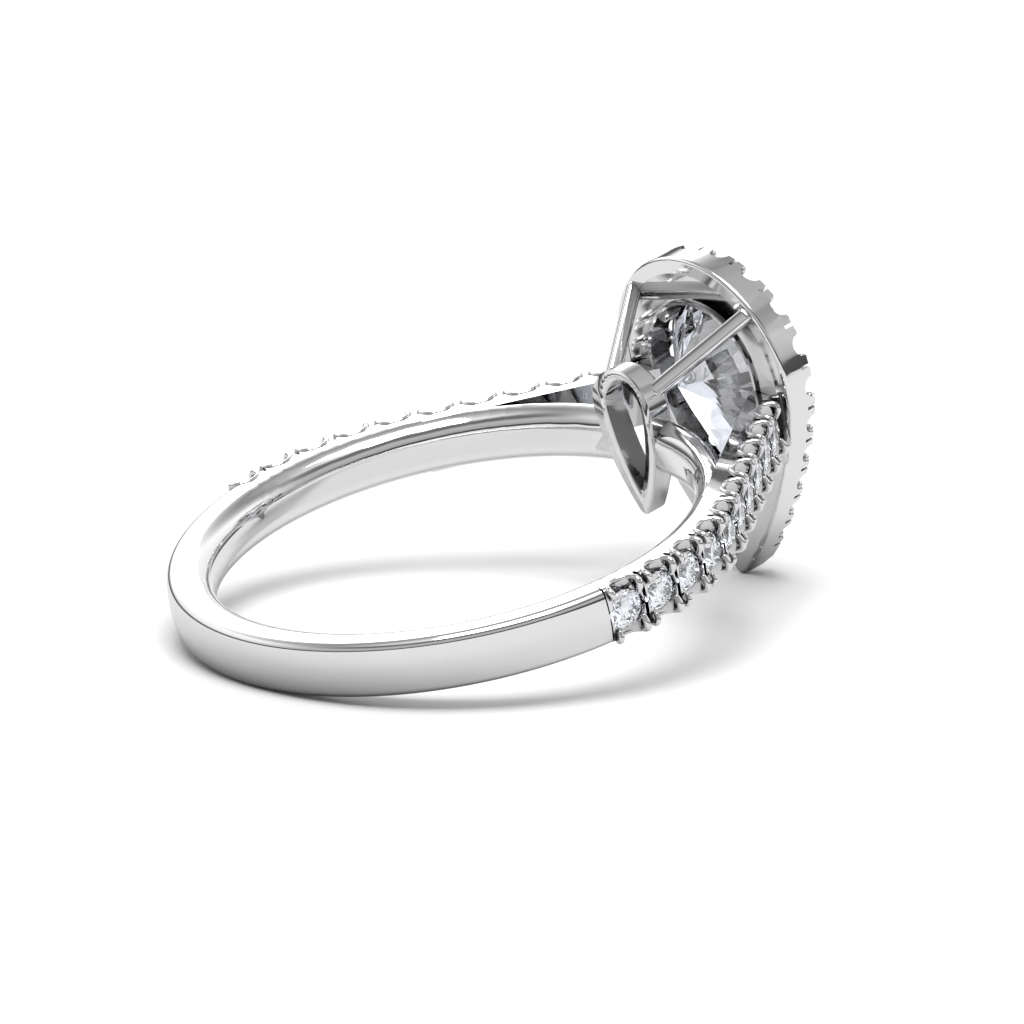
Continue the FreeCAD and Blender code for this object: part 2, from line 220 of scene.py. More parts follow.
HALO = Pear()
LOOP = Pear(head_radius=1.45, head_height=1.39, point_height=-2.75, flank_radius=8.0)


@dataclass(frozen=True)
class Cut:
    """Proportions of a brilliant cut, as shares of the stone's half-width.

    The girdle has 16 * steps points.
    """

    table: float = 0.56
    crown: float = 0.32
    girdle: float = 0.06
    pavilion: float = 0.86
    star: float = 0.76
    lower: float = 0.25
    steps: int = 1

    def build(self, outline: Callable[[Array], Array], size: float) -> tuple[Array, list[Face]]:
        """The stone's points round its own centre, and its faces.

        Every ring of points is the girdle outline scaled towards the centre: the table, the star points
        half a step round, the pavilion points half a step round, and the culet. The star and pavilion
        points lie in the planes of the kites beside them, so height = crown * (1 - d) / (1 - table) with
        d the point's reach along the kite.

        Args:
            outline: from shares of the way round to rows of two coordinates in the girdle's plane.
            size: what the proportions are multiplied by, in millimetres.
        Returns:
            Rows of in-plane a, in-plane b, height, and the faces.
        """
        n = 16 * self.steps
        main, mid = np.arange(8) / 8, (np.arange(8) + 0.5) / 8
        reach = math.cos(math.pi / 8)
        edge = outline(np.arange(n) / n)
        top = self.girdle / 2

        def ring(flat: Array, height: float) -> Array:
            """A ring of points at a height given as a share of size.

            Args:
                flat: rows of two coordinates.
                height: the height, as a share of size.
            Returns:
                Rows of both coordinates and the height.
            """
            return np.column_stack([flat, np.full(len(flat), height * size)])

        star_height = top + self.crown * (1 - self.star * reach) / (1 - self.table)
        low_height = -top - self.pavilion * (1 - self.lower * reach)
        vertices = np.concatenate([
            ring(outline(main) * self.table, top + self.crown),
            ring(outline(mid) * self.star, star_height),
            ring(edge, top),
            ring(edge, -top),
            ring(outline(mid) * self.lower, low_height),
            ring(np.zeros((1, 2)), -top - self.pavilion),
        ])
        table, star, high = 0, 8, 16
        low, under, culet = 16 + n, 16 + 2 * n, 24 + 2 * n
        k = np.arange(8)
        before, after, step = (k - 1) % 8, (k + 1) % 8, self.steps
        corner = 2 * step * k
        run = np.arange(step + 1)
        first = (corner[:, None] + run) % n
        second = (corner[:, None] + step + run) % n
        i = np.arange(n)
        j = (i + 1) % n
        faces = [list(range(8))]
        faces += np.column_stack([table + k, star + k, table + after]).tolist()
        faces += np.column_stack([table + k, star + before, high + corner, star + k]).tolist()
        faces += np.column_stack([star + k, high + first]).tolist()
        faces += np.column_stack([star + k, high + second]).tolist()
        faces += np.column_stack([high + i, low + i, low + j, high + j]).tolist()
        faces += np.column_stack([np.full(8, culet), under + k, low + corner, under + before]).tolist()
        faces += np.column_stack([under + k, low + first[:, ::-1]]).tolist()
        faces += np.column_stack([under + k, low + second[:, ::-1]]).tolist()
        return vertices, faces


def set_stones(cut: Cut, size: float, centres: Array, axes: Array, sides: Array) -> tuple[Array, list[Face]]:
    """Round stones of one cut, set at several places.

    Args:
        cut: the cut they share.
        size: their radius in millimetres.
        centres: rows of the girdle centres.
        axes: rows of the directions their tables face.
        sides: rows of the directions of their first corner.
    Returns:
        Points in the upright ring's frame and faces.
    """

    def circle(share: Array) -> Array:
        """The round girdle.

        Args:
            share: shares of the way round.
        Returns:
            Rows of two coordinates.
        """
        turn = 2 * np.pi * share
        return size * np.column_stack([np.cos(turn), np.sin(turn)])

    local, faces = cut.build(circle, size)
    others = np.cross(axes, sides)
    points = (
        centres[:, None]
        + local[None, :, 0, None] * sides[:, None]
        + local[None, :, 1, None] * others[:, None]
        + local[None, :, 2, None] * axes[:, None]
    )
    all_faces = [[v + n * len(local) for v in face] for n in range(len(centres)) for face in faces]
    return points.reshape(-1, 3), all_faces


def beads(
    centres: Array, frames: Array, radii: Array, rings: int = 8, spokes: int = 14
) -> tuple[Array, list[Face]]:
    """Small ellipsoids: the unit sphere (cos b cos a, cos b sin a, sin b) stretched along three directions.

    Args:
        centres: rows of the middles.
        frames: for each bead three unit rows, the directions it is stretched along.
        radii: for each bead its three radii.
        rings: rings of points between the poles.
        spokes: points round each ring.
    Returns:
        Points and faces.
    """
    b = np.linspace(-np.pi / 2, np.pi / 2, rings + 2)[1:-1]
    a = np.arange(spokes) * 2 * np.pi / spokes
    bb, aa = np.meshgrid(b, a, indexing="ij")
    ball = np.stack([np.cos(bb) * np.cos(aa), np.cos(bb) * np.sin(aa), np.sin(bb)], axis=-1).reshape(-1, 3)
    ball = np.concatenate([ball, [[0, 0, -1.0], [0, 0, 1.0]]])
    points = centres[:, None] + np.einsum("pi,ni,nij->npj", ball, radii, frames)
    s = np.arange(spokes)
    south, north = rings * spokes, rings * spokes + 1
    last = (rings - 1) * spokes
    caps = [[south, (v + 1) % spokes, v] for v in s] + [[north, last + v, last + (v + 1) % spokes] for v in s]
    one = grid_faces(rings, spokes).tolist() + caps
    faces = [[int(v) + n * len(ball) for v in face] for n in range(len(centres)) for face in one]
    return points.reshape(-1, 3), faces


def rounded_path(corners: Wire, rounds: int = 2) -> Array:
    """Cuts the corners of an open path, keeping its ends.

    Each round puts points at 1/4 and 3/4 of every leg.

    Args:
        corners: the path's corners, three coordinates and a radius each.
        rounds: how often the corners are cut.
    Returns:
        Rows of the same four numbers.
    """
    path = np.asarray(corners, float)
    for _ in range(rounds):
        legs = np.diff(path, axis=0)
        cut = np.stack([path[:-1] + 0.25 * legs, path[:-1] + 0.75 * legs], axis=1).reshape(-1, path.shape[1])
        path = np.concatenate([path[:1], cut, path[-1:]])
    return path


def tubes(
    paths: Array, radii: Array, away: Array, spokes: int = 10, power: float = 2.0
) -> tuple[Array, list[Face]]:
    """Wires along paths, closed by a point bulge radii beyond both ends.

    The section is |x|^power + |y|^power = radius^power: round at 2, squarer above.

    Args:
        paths: for each wire its rows of points.
        radii: the wire's radius at each point of its path.
        away: for each wire a direction that its path never follows.
        spokes: points round the wire.
        power: how square the section is.
    Returns:
        Points and faces.
    """
    along = np.gradient(paths, axis=1)
    along /= np.linalg.norm(along, axis=2, keepdims=True)
    side = np.cross(along, away[:, None])
    side /= np.linalg.norm(side, axis=2, keepdims=True)
    over = np.cross(side, along)
    a = np.arange(spokes) * 2 * np.pi / spokes
    reach = (np.abs(np.cos(a)) ** power + np.abs(np.sin(a)) ** power) ** (-1.0 / power)
    across, up = (reach * np.cos(a))[:, None], (reach * np.sin(a))[:, None]
    section = side[:, :, None] * across + over[:, :, None] * up
    rings = paths[:, :, None] + section * np.asarray(radii)[:, None, None]
    wires, steps = paths.shape[:2]
    bulge = 0.8
    first = paths[:, :1] - along[:, :1] * radii[0] * bulge
    last = paths[:, -1:] + along[:, -1:] * radii[-1] * bulge
    points = np.concatenate([rings.reshape(wires, -1, 3), first, last], axis=1)
    quads = grid_faces(steps, spokes)[:, [0, 3, 2, 1]]
    start, end, row = steps * spokes, steps * spokes + 1, (steps - 1) * spokes
    caps = [[start, v, (v + 1) % spokes] for v in range(spokes)]
    caps += [[end, row + (v + 1) % spokes, row + v] for v in range(spokes)]
    one = quads.tolist() + caps
    faces = [[int(v) + n * points.shape[1] for v in face] for n in range(wires) for face in one]
    return points.reshape(-1, 3), faces


def surface_group() -> bpy.types.NodeTree:
    """Node group of faint changes over a surface, shared by the metal and the stones.

    Returns:
        A group with Scale, Low Color, High Color, Low Roughness and High Roughness going in, and Color,
        Roughness and Height coming out.
    """
    group = bpy.data.node_groups.new("surface_variation", "ShaderNodeTree")
    sockets = (
        ("Scale", "INPUT", "Float"), ("Low Color", "INPUT", "Color"), ("High Color", "INPUT", "Color"),
        ("Low Roughness", "INPUT", "Float"), ("High Roughness", "INPUT", "Float"),
        ("Color", "OUTPUT", "Color"), ("Roughness", "OUTPUT", "Float"), ("Height", "OUTPUT", "Float"),
    )
    for label, way, kind in sockets:
        group.interface.new_socket(label, in_out=way, socket_type="NodeSocket" + kind)
    nodes, link = group.nodes, group.links.new
    inside, outside = nodes.new("NodeGroupInput"), nodes.new("NodeGroupOutput")
    place = nodes.new("ShaderNodeTexCoord")
    noise = nodes.new("ShaderNodeTexNoise")
    noise.inputs["Detail"].default_value = 4.0
    link(place.outputs["Object"], noise.inputs["Vector"])
    link(inside.outputs["Scale"], noise.inputs["Scale"])
    tint = nodes.new("ShaderNodeMix")
    tint.data_type = "RGBA"
    link(noise.outputs["Fac"], tint.inputs[0])
    link(inside.outputs["Low Color"], tint.inputs[6])
    link(inside.outputs["High Color"], tint.inputs[7])
    rough = nodes.new("ShaderNodeMix")
    link(noise.outputs["Fac"], rough.inputs[0])
    link(inside.outputs["Low Roughness"], rough.inputs[2])
    link(inside.outputs["High Roughness"], rough.inputs[3])
    link(tint.outputs[2], outside.inputs["Color"])
    link(rough.outputs[0], outside.inputs["Roughness"])
    link(noise.outputs["Fac"], outside.inputs["Height"])
    return group


@dataclass(frozen=True)
class Finish:
    """What a surface looks like.

    Where painted_shade_min is under 1, shade is painted into the colour of hollows, darker down to that
    share: open_share is how much of its surroundings within reach a place sees free, and the painted shade
    goes from all to none between its two values.
    """

    name: str
    low_color: Rgb
    high_color: Rgb
    low_roughness: float
    high_roughness: float
    grain: float
    relief: float
    metallic: float = 0.0
    transmission: float = 0.0
    ior: float = 1.5
    # Painted shade in hollows: the base colour is multiplied down to this share where ambient occlusion finds
    # the place enclosed; reach and open_share set that occlusion.
    painted_shade_min: float = 1.0
    reach: float = 0.0028
    open_share: Pair = (0.25, 0.85)
    bump_height: float = 0.00001

    def material(self, group: bpy.types.NodeTree) -> bpy.types.Material:
        """The Blender material.

        Args:
            group: the shared node group of surface changes.
        Returns:
            A Principled BSDF fed by the group.
        """
        material = bpy.data.materials.new(self.name)
        material.use_nodes = True
        nodes, link = material.node_tree.nodes, material.node_tree.links.new
        shader = nodes["Principled BSDF"]
        change = nodes.new("ShaderNodeGroup")
        change.node_tree = group
        change.inputs["Scale"].default_value = self.grain
        change.inputs["Low Color"].default_value = (*self.low_color, 1.0)
        change.inputs["High Color"].default_value = (*self.high_color, 1.0)
        change.inputs["Low Roughness"].default_value = self.low_roughness
        change.inputs["High Roughness"].default_value = self.high_roughness
        color = change.outputs["Color"]
        # Painted shade: hollows get their base colour darkened by ambient occlusion.
        if self.painted_shade_min < 1.0:
            color = self.painted_hollow_shade(material.node_tree, color)
        link(color, shader.inputs["Base Color"])
        link(change.outputs["Roughness"], shader.inputs["Roughness"])
        if self.relief > 0:
            bump = nodes.new("ShaderNodeBump")
            bump.inputs["Strength"].default_value = self.relief
            bump.inputs["Distance"].default_value = self.bump_height
            link(change.outputs["Height"], bump.inputs["Height"])
            link(bump.outputs["Normal"], shader.inputs["Normal"])
        shader.inputs["Metallic"].default_value = self.metallic
        shader.inputs["Transmission Weight"].default_value = self.transmission
        shader.inputs["IOR"].default_value = self.ior
        return material

    def painted_hollow_shade(self, tree: bpy.types.NodeTree, color: bpy.types.NodeSocket) -> bpy.types.NodeSocket:
        """Painted shade: the colour made darker in hollows, but not for rays that come through a stone.

        Args:
            tree: the material's nodes.
            color: the colour to change.
        Returns:
            The changed colour.
        """
        nodes, link = tree.nodes, tree.links.new
        # Painted shade: ambient occlusion darkens the base colour itself, not the light.
        free, shade = nodes.new("ShaderNodeAmbientOcclusion"), nodes.new("ShaderNodeMapRange")
        free.samples = 6
        free.inputs["Distance"].default_value = self.reach
        shade.inputs["From Min"].default_value = self.open_share[0]
        shade.inputs["From Max"].default_value = self.open_share[1]
        shade.inputs["To Min"].default_value = self.painted_shade_min
        link(free.outputs["AO"], shade.inputs["Value"])
        paths, bright = nodes.new("ShaderNodeLightPath"), nodes.new("ShaderNodeMath")
        bright.operation = "MAXIMUM"
        link(shade.outputs[0], bright.inputs[0])
        link(paths.outputs["Is Transmission Ray"], bright.inputs[1])
        tone = nodes.new("ShaderNodeMix")
        tone.data_type, tone.blend_type = "RGBA", "MULTIPLY"
        tone.inputs[0].default_value = 1.0
        link(color, tone.inputs[6])
        link(bright.outputs[0], tone.inputs[7])
        return tone.outputs[2]


# The metal's base colour carries painted shade in its hollows, down to a quarter.
POLISHED_METAL = Finish(
    "polished_white_gold", (0.84, 0.84, 0.845), (0.88, 0.88, 0.885),
    low_roughness=0.04, high_roughness=0.07, grain=900.0, relief=0.05, metallic=1.0, painted_shade_min=0.25,
)
CLEAR_DIAMOND = Finish(
    "clear_diamond", (0.97, 0.98, 1.0), (1.0, 1.0, 1.0),
    low_roughness=0.0, high_roughness=0.004, grain=400.0, relief=0.0, transmission=1.0, ior=2.417,
)
# Painted shade: the centre stone is the clear diamond again with its base colour dimmed to grey, standing in
# for less light through it.
DIMMED_CENTER_DIAMOND = Finish(
    "center_diamond_painted_shade", (0.66, 0.665, 0.69), (0.70, 0.705, 0.72),
    low_roughness=0.0, high_roughness=0.004, grain=400.0, relief=0.0, transmission=1.0, ior=2.417,
)


@dataclass
class PlainBand:
    """The unset back of the band as one fine sweep: a smooth cross-section carried round the finger.

    It lies skin outside the solid and runs round the back from first_deg on either side of the head.
    """

    bore: float = 8.12
    outer: float = 9.65
    half_width: float = 0.95
    land: float = 0.25
    inside_round: float = 0.70
    edge_round: float = 0.30
    dome: float = 3.5
    skin: float = 0.003
    first_deg: float = 100.3
    crease_deg: float = 40.0
    steps: int = 260
    inside_points: int = 18
    edge_points: int = 12
    dome_points: int = 14

    def profile(self) -> Array:
        """The closed cross-section.

        Five arcs joined by the flat sides: centre + radius * (cos t, sin t) for the comfortable inside's
        two quarter rounds, the two edge rounds and the low dome between them.

        Returns:
            Rows of distance from the finger's axis and height.
        """
        edge_z = self.half_width - self.edge_round
        dome_x = self.outer - self.dome
        edge_x = dome_x + math.sqrt((self.dome - self.edge_round) ** 2 - edge_z**2)
        slope = math.atan2(edge_z, edge_x - dome_x)
        inner = self.bore + self.inside_round

        def arc(x: float, z: float, radius: float, start: float, end: float, count: int) -> Array:
            """Points on a circle round (x, z) from one angle to another.

            Args:
                x: the centre's distance from the finger's axis.
                z: the centre's height.
                radius: the circle's radius.
                start: the first angle.
                end: the last angle.
                count: the number of points.
            Returns:
                Rows of distance and height.
            """
            t = np.linspace(start, end, count)
            return np.column_stack([x + radius * np.cos(t), z + radius * np.sin(t)])

        upper = np.concatenate([
            arc(inner, self.land, self.inside_round + self.skin, math.pi, math.pi / 2, self.inside_points),
            arc(edge_x, edge_z, self.edge_round + self.skin, math.pi / 2, slope, self.edge_points),
            arc(dome_x, 0.0, self.dome + self.skin, slope, 0.0, self.dome_points)[1:-1],
        ])
        lower = upper[::-1] * (1.0, -1.0)
        return np.concatenate([upper, lower])

    def build(self) -> bpy.types.Object:
        """The sweep, as a closed tube of quads with capped ends hidden in the set part.

        Returns:
            The piece.
        """
        flat = self.profile()
        angle = np.radians(np.linspace(self.first_deg, 360.0 - self.first_deg, self.steps))
        points = np.stack([
            flat[None, :, 0] * np.cos(angle)[:, None],
            flat[None, :, 0] * np.sin(angle)[:, None],
            np.broadcast_to(flat[:, 1], (self.steps, len(flat))),
        ], axis=-1)
        count = len(flat)
        faces = grid_faces(self.steps, count).tolist()
        faces.append(list(range(count))[::-1])
        faces.append([(self.steps - 1) * count + v for v in range(count)])
        plain = new_object("plain_band", REST.points(points.reshape(-1, 3)), faces, True)
        plain.data.set_sharp_from_angle(angle=math.radians(self.crease_deg))
        return plain


@dataclass
class Gallery:
    """What stands under the halo: the pear-shaped loop and the two struts."""

    bore: float = 8.12
    bore_play: float = 0.02
    wall: float = 0.55
    roll: float = 1.5
    loop_middle: Point = (12.0, 0.0, 0.05)
    loop_half: Point = (5.0, 1.8, 3.0)
    samples: int = 600
    strut_foot: Point = (8.62, 1.057, 2.011)
    strut_head: Point = (11.78, 2.829, 3.848)
    strut_half: float = 0.258
    strut_steps: int = 40
    strut_spokes: int = 48
    strut_power: float = 4.0

    def rolled_loop(self, corner: Array, normal: Array) -> Array:
        """Normals of the loop's finger side, turned so that it shades as a rounded wire.

        On that side, normal = inward + roll * (1 - 2 d / wall) * outward, with d the distance from the
        loop's outline, 0 at its outer edge and wall at its opening.

        Args:
            corner: for each triangle its three corners in the upright ring.
            normal: for each triangle the normals at its corners, in the row frame.
        Returns:
            The normals, changed on the loop's finger side only.
        """
        on_bore = np.abs(np.hypot(corner[..., 0], corner[..., 1]) - self.bore) < self.bore_play
        half = np.abs(corner - self.loop_middle) < self.loop_half
        chosen = np.flatnonzero((on_bore & half.all(axis=-1)).all(axis=1))
        spot = corner[chosen]
        flat, out = LOOP.place(0.0, np.arange(self.samples) / self.samples)
        gap = spot[..., None, 1:] - flat
        nearest = np.argmin(np.einsum("...i,...i->...", gap, gap), axis=-1)
        depth = -np.einsum("...i,...i->...", spot[..., 1:] - flat[nearest], out[nearest])
        depth = np.clip(depth, 0.0, self.wall)
        inward = -spot * (1.0, 1.0, 0.0) / self.bore
        tilt = self.roll * (1.0 - 2.0 * depth / self.wall)
        rolled = inward.copy()
        rolled[..., 1:] += tilt[..., None] * out[nearest]
        rolled /= np.linalg.norm(rolled, axis=-1, keepdims=True)
        normal[chosen] = rolled @ REST.turn().T
        return normal

    def strut_bars(self) -> bpy.types.Object:
        """The two struts with softened edges.

        Returns:
            The piece.
        """
        share = np.linspace(0.0, 1.0, self.strut_steps)
        foot, head = np.array(self.strut_foot), np.array(self.strut_head)
        half = np.full(len(share), self.strut_half)
        flips = np.array([[1.0, 1.0, 1.0], [1.0, -1.0, 1.0]])
        paths = (foot + (head - foot) * share[:, None])[None] * flips[:, None]
        away = np.tile(HEADWARD, (2, 1))
        points, faces = tubes(paths, half, away, self.strut_spokes, self.strut_power)
        return new_object("strut_bars", REST.points(points), faces, True)


@dataclass
class Shoulders:
    """The two set shoulders: where their stones stand, and the claws that hold them.

    A row of hook is a place along the shoulder, a height, a lift over its surface and the wire's radius.
    """

    start_deg: float = 100.4
    bend_deg: float = 54.8
    radius: float = 9.65
    pitch: float = 1.50
    stones: int = 10
    hook_lean: float = 0.6
    hook: Wire = (
        (-0.50, 0.56, 0.02, 0.07), (-0.52, 0.76, 0.13, 0.11), (-0.56, 0.89, 0.02, 0.11),
        (-0.48, 0.93, -0.26, 0.09),
        (-0.22, 0.93, -0.47, 0.085), (0.22, 0.93, -0.47, 0.085), (0.48, 0.93, -0.26, 0.095),
        (0.57, 0.90, 0.04, 0.12), (0.53, 0.70, 0.14, 0.13), (0.53, 0.40, -0.02, 0.09),
    )

    def row(self, way: Array, side: Side) -> tuple[Array, Array, Array]:
        """Points, outward directions and run directions along a shoulder's outer surface.

        The way runs along the circle of radius from start_deg to bend_deg, then along the tangent there.

        Args:
            way: distances from the row's start.
            side: the shoulder.
        Returns:
            Rows of points, of outward directions and of the directions of the way.
        """
        start, bend = math.radians(self.start_deg), math.radians(self.bend_deg)
        curved = self.radius * (start - bend)
        angle = start - np.minimum(way, curved) / self.radius
        flip = np.array([1.0, side.value, 1.0])
        out = np.column_stack([np.cos(angle), np.sin(angle), np.zeros(len(way))])
        run = np.column_stack([np.sin(angle), -np.cos(angle), np.zeros(len(way))])
        points = out * self.radius + run * np.maximum(0.0, way - curved)[:, None]
        return points * flip, out * flip, run * flip

    def claw_hooks(self) -> bpy.types.Object:
        """The shoulders' claws: at both edges of every stone two tips, joined by the rim of the scallop.

        The wire's path is given by run, height and lift over the outer surface, with its radius, counted
        from the stone's middle; corner cutting rounds it.

        Returns:
            The piece.
        """
        ways = (np.arange(self.stones) + 0.5) * self.pitch
        points, faces = [], []
        path = rounded_path(self.hook)
        for side in Side:
            middle, out, run = self.row(ways, side)
            for end in (-1.0, 1.0):
                hook = middle[:, None] + path[None, :, :1] * run[:, None]
                hook = hook + path[None, :, 2:3] * out[:, None] + path[None, :, 1:2] * UP * end
                wires, more = tubes(hook, path[:, 3], out + self.hook_lean * end * UP)
                count = sum(len(block) for block in points)
                faces += [[v + count for v in face] for face in more]
                points.append(wires)
        return new_object("claw_hooks", REST.points(np.concatenate(points)), faces, True)


@dataclass
class HaloFrame:
    """The halo round the stone: the tips of its split claws and the sloping channel in its back.

    A row of channel_profile is an inset from the pear outline and a height.
    """

    stones: int = 21
    front: float = 12.90
    row_inset: float = 0.73
    claw_insets: Pair = (0.24, 1.22)
    claw_gaps: Pair = (0.24, 0.13)
    claw_radii: Pair = (0.19, 0.14)
    claw_height: float = 0.20
    claw_sink: float = 0.05
    channel_steps: int = 240
    channel_profile: Stops = ((0.52, 11.715), (1.00, 11.752), (1.60, 11.800), (1.60, 11.84), (0.52, 11.84))
    channel_crease_deg: float = 30.0

    def claw_tips(self) -> bpy.types.Object:
        """Rounded tips on every split claw of the halo.

        Returns:
            The piece.
        """
        centres, frames, radii = [], [], []
        shares = (np.arange(self.stones) + 0.5) / self.stones
        for inset, gap, radius in zip(self.claw_insets, self.claw_gaps, self.claw_radii):
            flat, out = HALO.place(self.row_inset, shares)
            lift = np.column_stack([np.full(len(flat), self.front - self.claw_sink), flat])
            away = np.column_stack([np.zeros(len(flat)), out])
            along = np.column_stack([np.zeros(len(flat)), -out[:, 1], out[:, 0]])
            for end in (-1.0, 1.0):
                centres.append(lift + away * (self.row_inset - inset) + along * end * gap)
                frames.append(np.stack([away, along, np.tile(HEADWARD, (len(flat), 1))], axis=1))
                radii.append(np.tile([radius, radius, self.claw_height], (len(flat), 1)))
        frames = np.concatenate(frames)
        turned = np.linalg.det(frames) < 0
        frames[turned, 0] *= -1.0
        points, faces = beads(np.concatenate(centres), frames, np.concatenate(radii))
        return new_object("claw_tips", REST.points(points), faces, True)

    def channel_slope(self) -> bpy.types.Object:
        """The sloping polished floor of the halo's back channel.

        A closed strip: across it runs from the rail to the lip on top and back below, in a straight line
        of inset and height; along it follows the pear outline all the way round.

        Returns:
            The piece.
        """
        across = np.array(self.channel_profile)
        shares = np.arange(self.channel_steps) / self.channel_steps
        rows = []
        for inset, height in across:
            flat, _ = HALO.place(inset, shares)
            rows.append(np.column_stack([np.full(len(flat), height), flat]))
        points = np.stack(rows)
        faces = grid_faces(*points.shape[:2], closed=True).tolist()
        strip = new_object("halo_channel", REST.points(points.reshape(-1, 3)), faces, True)
        strip.data.set_sharp_from_angle(angle=math.radians(self.channel_crease_deg))
        return strip


@dataclass
class Mount:
    """The soldered metal: the solid's surface with its shading made smooth, and its finer parts."""

    band: PlainBand = field(default_factory=PlainBand)
    gallery: Gallery = field(default_factory=Gallery)
    shoulders: Shoulders = field(default_factory=Shoulders)
    halo: HaloFrame = field(default_factory=HaloFrame)
    crease_deg: float = 38.0
    weld: float = 0.5e-6

    def build(self, nodes: dict[str, bpy.types.Object], metal: bpy.types.Material) -> list[bpy.types.Object]:
        """Builds and dresses the metal.

        Args:
            nodes: the CAD nodes by name.
            metal: the metal's material.
        Returns:
            The pieces.
        """
        body = self.smooth_copy(nodes["ring_mount"])
        tips, hooks = self.halo.claw_tips(), self.shoulders.claw_hooks()
        struts, channel, plain = self.gallery.strut_bars(), self.halo.channel_slope(), self.band.build()
        pieces = [body, plain, tips, hooks, struts, channel]
        for piece in pieces:
            piece.data.materials.append(metal)
            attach(piece, "root")
        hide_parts("ring_mount")
        return pieces

    def smooth_copy(self, source: bpy.types.Object) -> bpy.types.Object:
        """A merged copy of the solid whose normals are smooth except over its edges.

        At each corner the normal is the sum of area times normal over the faces at that point whose
        normals lie within crease_deg of the corner's own face.

        Args:
            source: the CAD node.
        Returns:
            The new object.
        """
        mesh = source.data
        mesh.calc_loop_triangles()
        co = np.empty(len(mesh.vertices) * 3, np.float32)
        mesh.vertices.foreach_get("co", co)
        co = co.reshape(-1, 3).astype(float)
        tri = np.empty(len(mesh.loop_triangles) * 3, np.int32)
        mesh.loop_triangles.foreach_get("vertices", tri)
        cells = np.round(co / self.weld).astype(np.int64)
        _, first, index = np.unique(cells, axis=0, return_index=True, return_inverse=True)
        points, tri = co[first], index.reshape(-1)[tri].reshape(-1, 3)
        tri = tri[(tri[:, 0] != tri[:, 1]) & (tri[:, 1] != tri[:, 2]) & (tri[:, 2] != tri[:, 0])]
        ring = REST.upright(points)
        swept = np.abs(np.degrees(np.arctan2(ring[:, 1], ring[:, 0]))) > self.band.first_deg
        tri = tri[~swept[tri].all(axis=1)]
        cross = np.cross(points[tri[:, 1]] - points[tri[:, 0]], points[tri[:, 2]] - points[tri[:, 0]])
        area = np.linalg.norm(cross, axis=1)
        unit = cross / np.maximum(area, TINY)[:, None]
        corner = tri.ravel()
        order = np.argsort(corner, kind="stable")
        face = order // 3
        counts = np.bincount(corner, minlength=len(points))
        starts = np.concatenate([[0], np.cumsum(counts)[:-1]])
        size = counts[corner[order]]
        left = np.repeat(np.arange(len(order)), size)
        offset = np.arange(len(left)) - np.repeat(np.cumsum(size) - size, size)
        right = np.repeat(starts[corner[order]], size) + offset
        alike = np.einsum("ij,ij->i", unit[face[left]], unit[face[right]])
        near = alike > math.cos(math.radians(self.crease_deg))
        weight = area[face[right]] * near
        normal = np.empty((len(order), 3))
        for axis in range(3):
            normal[order, axis] = np.bincount(left, weight * unit[face[right], axis], minlength=len(order))
        normal /= np.maximum(np.linalg.norm(normal, axis=1), TINY)[:, None]
        normal = self.gallery.rolled_loop(ring[tri], normal.reshape(-1, 3, 3)).reshape(-1, 3)
        copy = new_object("mount_metal", points, tri.tolist(), True)
        copy.data.normals_split_custom_set(normal.tolist())
        return copy


